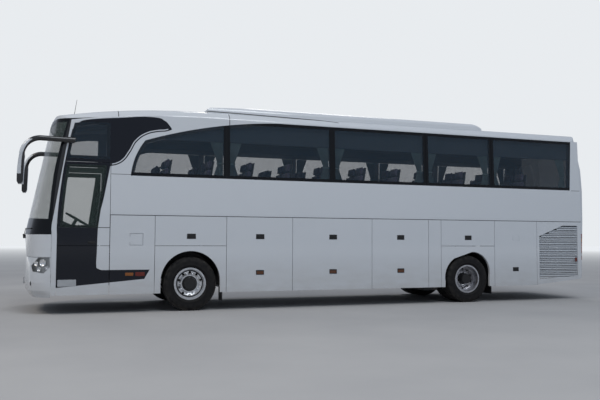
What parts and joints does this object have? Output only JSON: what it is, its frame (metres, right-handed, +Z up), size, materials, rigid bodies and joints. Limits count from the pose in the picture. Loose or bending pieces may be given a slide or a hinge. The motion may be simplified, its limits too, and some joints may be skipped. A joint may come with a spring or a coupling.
{
  "type": "coach bus",
  "caption": "High-deck touring coach with opening doors, luggage flaps, steering and turning wheels, fitted cabin and roof air unit.",
  "frame": {"origin": "on the ground under the centre of the bounding box", "axes": "+X forward, +Y to the driver's (left) side, +Z up"},
  "size_m": [12.2101, 2.86, 3.956],
  "materials": {
    "body_paint": "gloss",
    "glass": "clear, lightly tinted",
    "dark_glass": "dark tinted",
    "lamp_glass": "clear and red lamp lenses",
    "black_plastic": "satin",
    "white_plastic": "gloss",
    "frame_steel": "satin black",
    "cast_metal": "matt",
    "tyre": "matt",
    "alloy": "polished",
    "floor_covering": "matt",
    "bay_lining": "satin",
    "seat_fabric": "woven",
    "rack_lining": "satin"
  },
  "bodies": {
    "coach": {"windscreen": "glass", "front_pillars": "body_paint", "left_side_wall": "body_paint", "right_side_wall": "body_paint", "side_glass": "dark_glass", "roof_shell": "body_paint", "rear_wall": "body_paint", "rear_window": "dark_glass", "front_bumper": "body_paint", "front_fascia": "body_paint", "lamps": "lamp_glass", "wipers": "black_plastic", "skirt_panels": "body_paint", "deck_and_platform": "floor_covering", "aisle_steps": "floor_covering", "entrance_stairs": "floor_covering", "middle_stairs": "floor_covering", "luggage_bays": "bay_lining", "chassis_frame": "frame_steel", "wheel_arches": "black_plastic", "front_axle": "cast_metal", "rear_axle": "cast_metal", "engine_block": "cast_metal", "roof_unit": "white_plastic", "mirrors": "white_plastic", "passenger_seats": "seat_fabric", "driver_seat": "seat_fabric", "dashboard": "black_plastic", "parcel_racks": "rack_lining"},
    "left_steered_knuckle": {"left_knuckle": "cast_metal"},
    "front_left_wheel": {"front_left_tyre": "tyre", "front_left_rim": "alloy"},
    "rear_left_wheels": {"rear_left_tyres": "tyre", "rear_left_rims": "alloy"},
    "right_steered_knuckle": {"right_knuckle": "cast_metal"},
    "front_right_wheel": {"front_right_tyre": "tyre", "front_right_rim": "alloy"},
    "rear_right_wheels": {"rear_right_tyres": "tyre", "rear_right_rims": "alloy"},
    "left_luggage_door_1_leaf": {"left_luggage_door_1": "body_paint"},
    "right_luggage_door_1_leaf": {"right_luggage_door_1": "body_paint"},
    "left_luggage_door_2_leaf": {"left_luggage_door_2": "body_paint"},
    "right_luggage_door_2_leaf": {"right_luggage_door_2": "body_paint"},
    "left_luggage_door_3_leaf": {"left_luggage_door_3": "body_paint"},
    "left_front_wheel_hatch_leaf": {"left_front_wheel_hatch": "body_paint"},
    "right_front_wheel_hatch_leaf": {"right_front_wheel_hatch": "body_paint"},
    "left_rear_wheel_hatch_leaf": {"left_rear_wheel_hatch": "body_paint"},
    "right_rear_wheel_hatch_leaf": {"right_rear_wheel_hatch": "body_paint"},
    "left_service_door_leaf": {"left_service_door": "body_paint"},
    "right_service_door_leaf": {"right_service_door": "body_paint"},
    "left_engine_door_leaf": {"left_engine_door": "body_paint"},
    "right_engine_door_leaf": {"right_engine_door": "body_paint"},
    "engine_lid_leaf": {"engine_lid": "body_paint"},
    "fuel_flap_leaf": {"fuel_flap": "body_paint"},
    "driver_door_leaf": {"driver_door": "body_paint"},
    "driver_step_flap_leaf": {"driver_step_flap": "body_paint"},
    "entrance_swing_arm": {"entrance_door_arm": "frame_steel"},
    "entrance_leaf": {"entrance_door": "body_paint"},
    "middle_swing_arm": {"middle_door_arm": "frame_steel"},
    "middle_leaf": {"middle_door": "body_paint"}
  },
  "joints": [
    {"name": "left_steering", "type": "hinge", "parent": "coach", "child": "left_steered_knuckle", "pos_m": [3.075, 0.96, 0.5], "axis": [0, 0, 1], "range_deg": [-38, 38]},
    {"name": "front_left_wheel_spin", "type": "hinge", "parent": "left_steered_knuckle", "child": "front_left_wheel", "pos_m": [3.075, 1.072, 0.5], "axis": [0, 1, 0], "continuous": true},
    {"name": "rear_left_wheel_spin", "type": "hinge", "parent": "coach", "child": "rear_left_wheels", "pos_m": [-2.925, 0.913, 0.5], "axis": [0, 1, 0], "continuous": true},
    {"name": "right_steering", "type": "hinge", "parent": "coach", "child": "right_steered_knuckle", "pos_m": [3.075, -0.96, 0.5], "axis": [0, 0, 1], "range_deg": [-38, 38]},
    {"name": "front_right_wheel_spin", "type": "hinge", "parent": "right_steered_knuckle", "child": "front_right_wheel", "pos_m": [3.075, -1.072, 0.5], "axis": [0, 1, 0], "continuous": true},
    {"name": "rear_right_wheel_spin", "type": "hinge", "parent": "coach", "child": "rear_right_wheels", "pos_m": [-2.925, -0.913, 0.5], "axis": [0, 1, 0], "continuous": true},
    {"name": "left_luggage_door_1_hinge", "type": "hinge", "parent": "coach", "child": "left_luggage_door_1_leaf", "pos_m": [0, 1.25, 1.757], "axis": [1, 0, 0], "range_deg": [0, 95]},
    {"name": "right_luggage_door_1_hinge", "type": "hinge", "parent": "coach", "child": "right_luggage_door_1_leaf", "pos_m": [0, -1.25, 1.757], "axis": [-1, 0, 0], "range_deg": [0, 95]},
    {"name": "left_luggage_door_2_hinge", "type": "hinge", "parent": "coach", "child": "left_luggage_door_2_leaf", "pos_m": [0, 1.25, 1.757], "axis": [1, 0, 0], "range_deg": [0, 95]},
    {"name": "right_luggage_door_2_hinge", "type": "hinge", "parent": "coach", "child": "right_luggage_door_2_leaf", "pos_m": [0, -1.25, 1.757], "axis": [-1, 0, 0], "range_deg": [0, 95]},
    {"name": "left_luggage_door_3_hinge", "type": "hinge", "parent": "coach", "child": "left_luggage_door_3_leaf", "pos_m": [0, 1.25, 1.757], "axis": [1, 0, 0], "range_deg": [0, 95]},
    {"name": "left_front_wheel_hatch_hinge", "type": "hinge", "parent": "coach", "child": "left_front_wheel_hatch_leaf", "pos_m": [0, 1.25, 1.757], "axis": [1, 0, 0], "range_deg": [0, 95]},
    {"name": "right_front_wheel_hatch_hinge", "type": "hinge", "parent": "coach", "child": "right_front_wheel_hatch_leaf", "pos_m": [0, -1.25, 1.757], "axis": [-1, 0, 0], "range_deg": [0, 95]},
    {"name": "left_rear_wheel_hatch_hinge", "type": "hinge", "parent": "coach", "child": "left_rear_wheel_hatch_leaf", "pos_m": [0, 1.25, 1.757], "axis": [1, 0, 0], "range_deg": [0, 95]},
    {"name": "right_rear_wheel_hatch_hinge", "type": "hinge", "parent": "coach", "child": "right_rear_wheel_hatch_leaf", "pos_m": [0, -1.25, 1.757], "axis": [-1, 0, 0], "range_deg": [0, 95]},
    {"name": "left_service_door_hinge", "type": "hinge", "parent": "coach", "child": "left_service_door_leaf", "pos_m": [0, 1.25, 1.757], "axis": [1, 0, 0], "range_deg": [0, 95]},
    {"name": "right_service_door_hinge", "type": "hinge", "parent": "coach", "child": "right_service_door_leaf", "pos_m": [0, -1.25, 1.757], "axis": [-1, 0, 0], "range_deg": [0, 95]},
    {"name": "left_engine_door_hinge", "type": "hinge", "parent": "coach", "child": "left_engine_door_leaf", "pos_m": [0, 1.25, 1.757], "axis": [1, 0, 0], "range_deg": [0, 95]},
    {"name": "right_engine_door_hinge", "type": "hinge", "parent": "coach", "child": "right_engine_door_leaf", "pos_m": [0, -1.25, 1.757], "axis": [-1, 0, 0], "range_deg": [0, 95]},
    {"name": "engine_lid_hinge", "type": "hinge", "parent": "coach", "child": "engine_lid_leaf", "pos_m": [-6.0765, 0, 1.7], "axis": [0, 1, 0], "range_deg": [0, 80]},
    {"name": "fuel_flap_hinge", "type": "hinge", "parent": "coach", "child": "fuel_flap_leaf", "pos_m": [4.19, 1.25, 1.32], "axis": [0, 0, -1], "range_deg": [0, 110]},
    {"name": "driver_door_hinge", "type": "hinge", "parent": "coach", "child": "driver_door_leaf", "pos_m": [5.436, 1.25, 1.9], "axis": [0, 0, -1], "range_deg": [0, 85]},
    {"name": "driver_step_flap_hinge", "type": "hinge", "parent": "coach", "child": "driver_step_flap_leaf", "pos_m": [5.436, 1.25, 0.8], "axis": [0, 0, -1], "range_deg": [0, 95]},
    {"name": "entrance_arm_swing", "type": "hinge", "parent": "coach", "child": "entrance_swing_arm", "pos_m": [5.363, -1.16, 1.15], "axis": [0, 0, 1], "range_deg": [0, 100]},
    {"name": "entrance_door_turn", "type": "hinge", "parent": "entrance_swing_arm", "child": "entrance_leaf", "pos_m": [4.963, -1.16, 1.15], "axis": [0, 0, 1], "range_deg": [-100, 0]},
    {"name": "middle_arm_swing", "type": "hinge", "parent": "coach", "child": "middle_swing_arm", "pos_m": [-1.27, -1.16, 1.15], "axis": [0, 0, 1], "range_deg": [0, 95]},
    {"name": "middle_door_turn", "type": "hinge", "parent": "middle_swing_arm", "child": "middle_leaf", "pos_m": [-1.75, -1.16, 1.15], "axis": [0, 0, 1], "range_deg": [-95, 0]}
  ],
  "couplings": [
    {"joint": "right_steering", "follows": "left_steering", "ratio": 1},
    {"joint": "entrance_door_turn", "follows": "entrance_arm_swing", "ratio": -1},
    {"joint": "middle_door_turn", "follows": "middle_arm_swing", "ratio": -1}
  ]
}
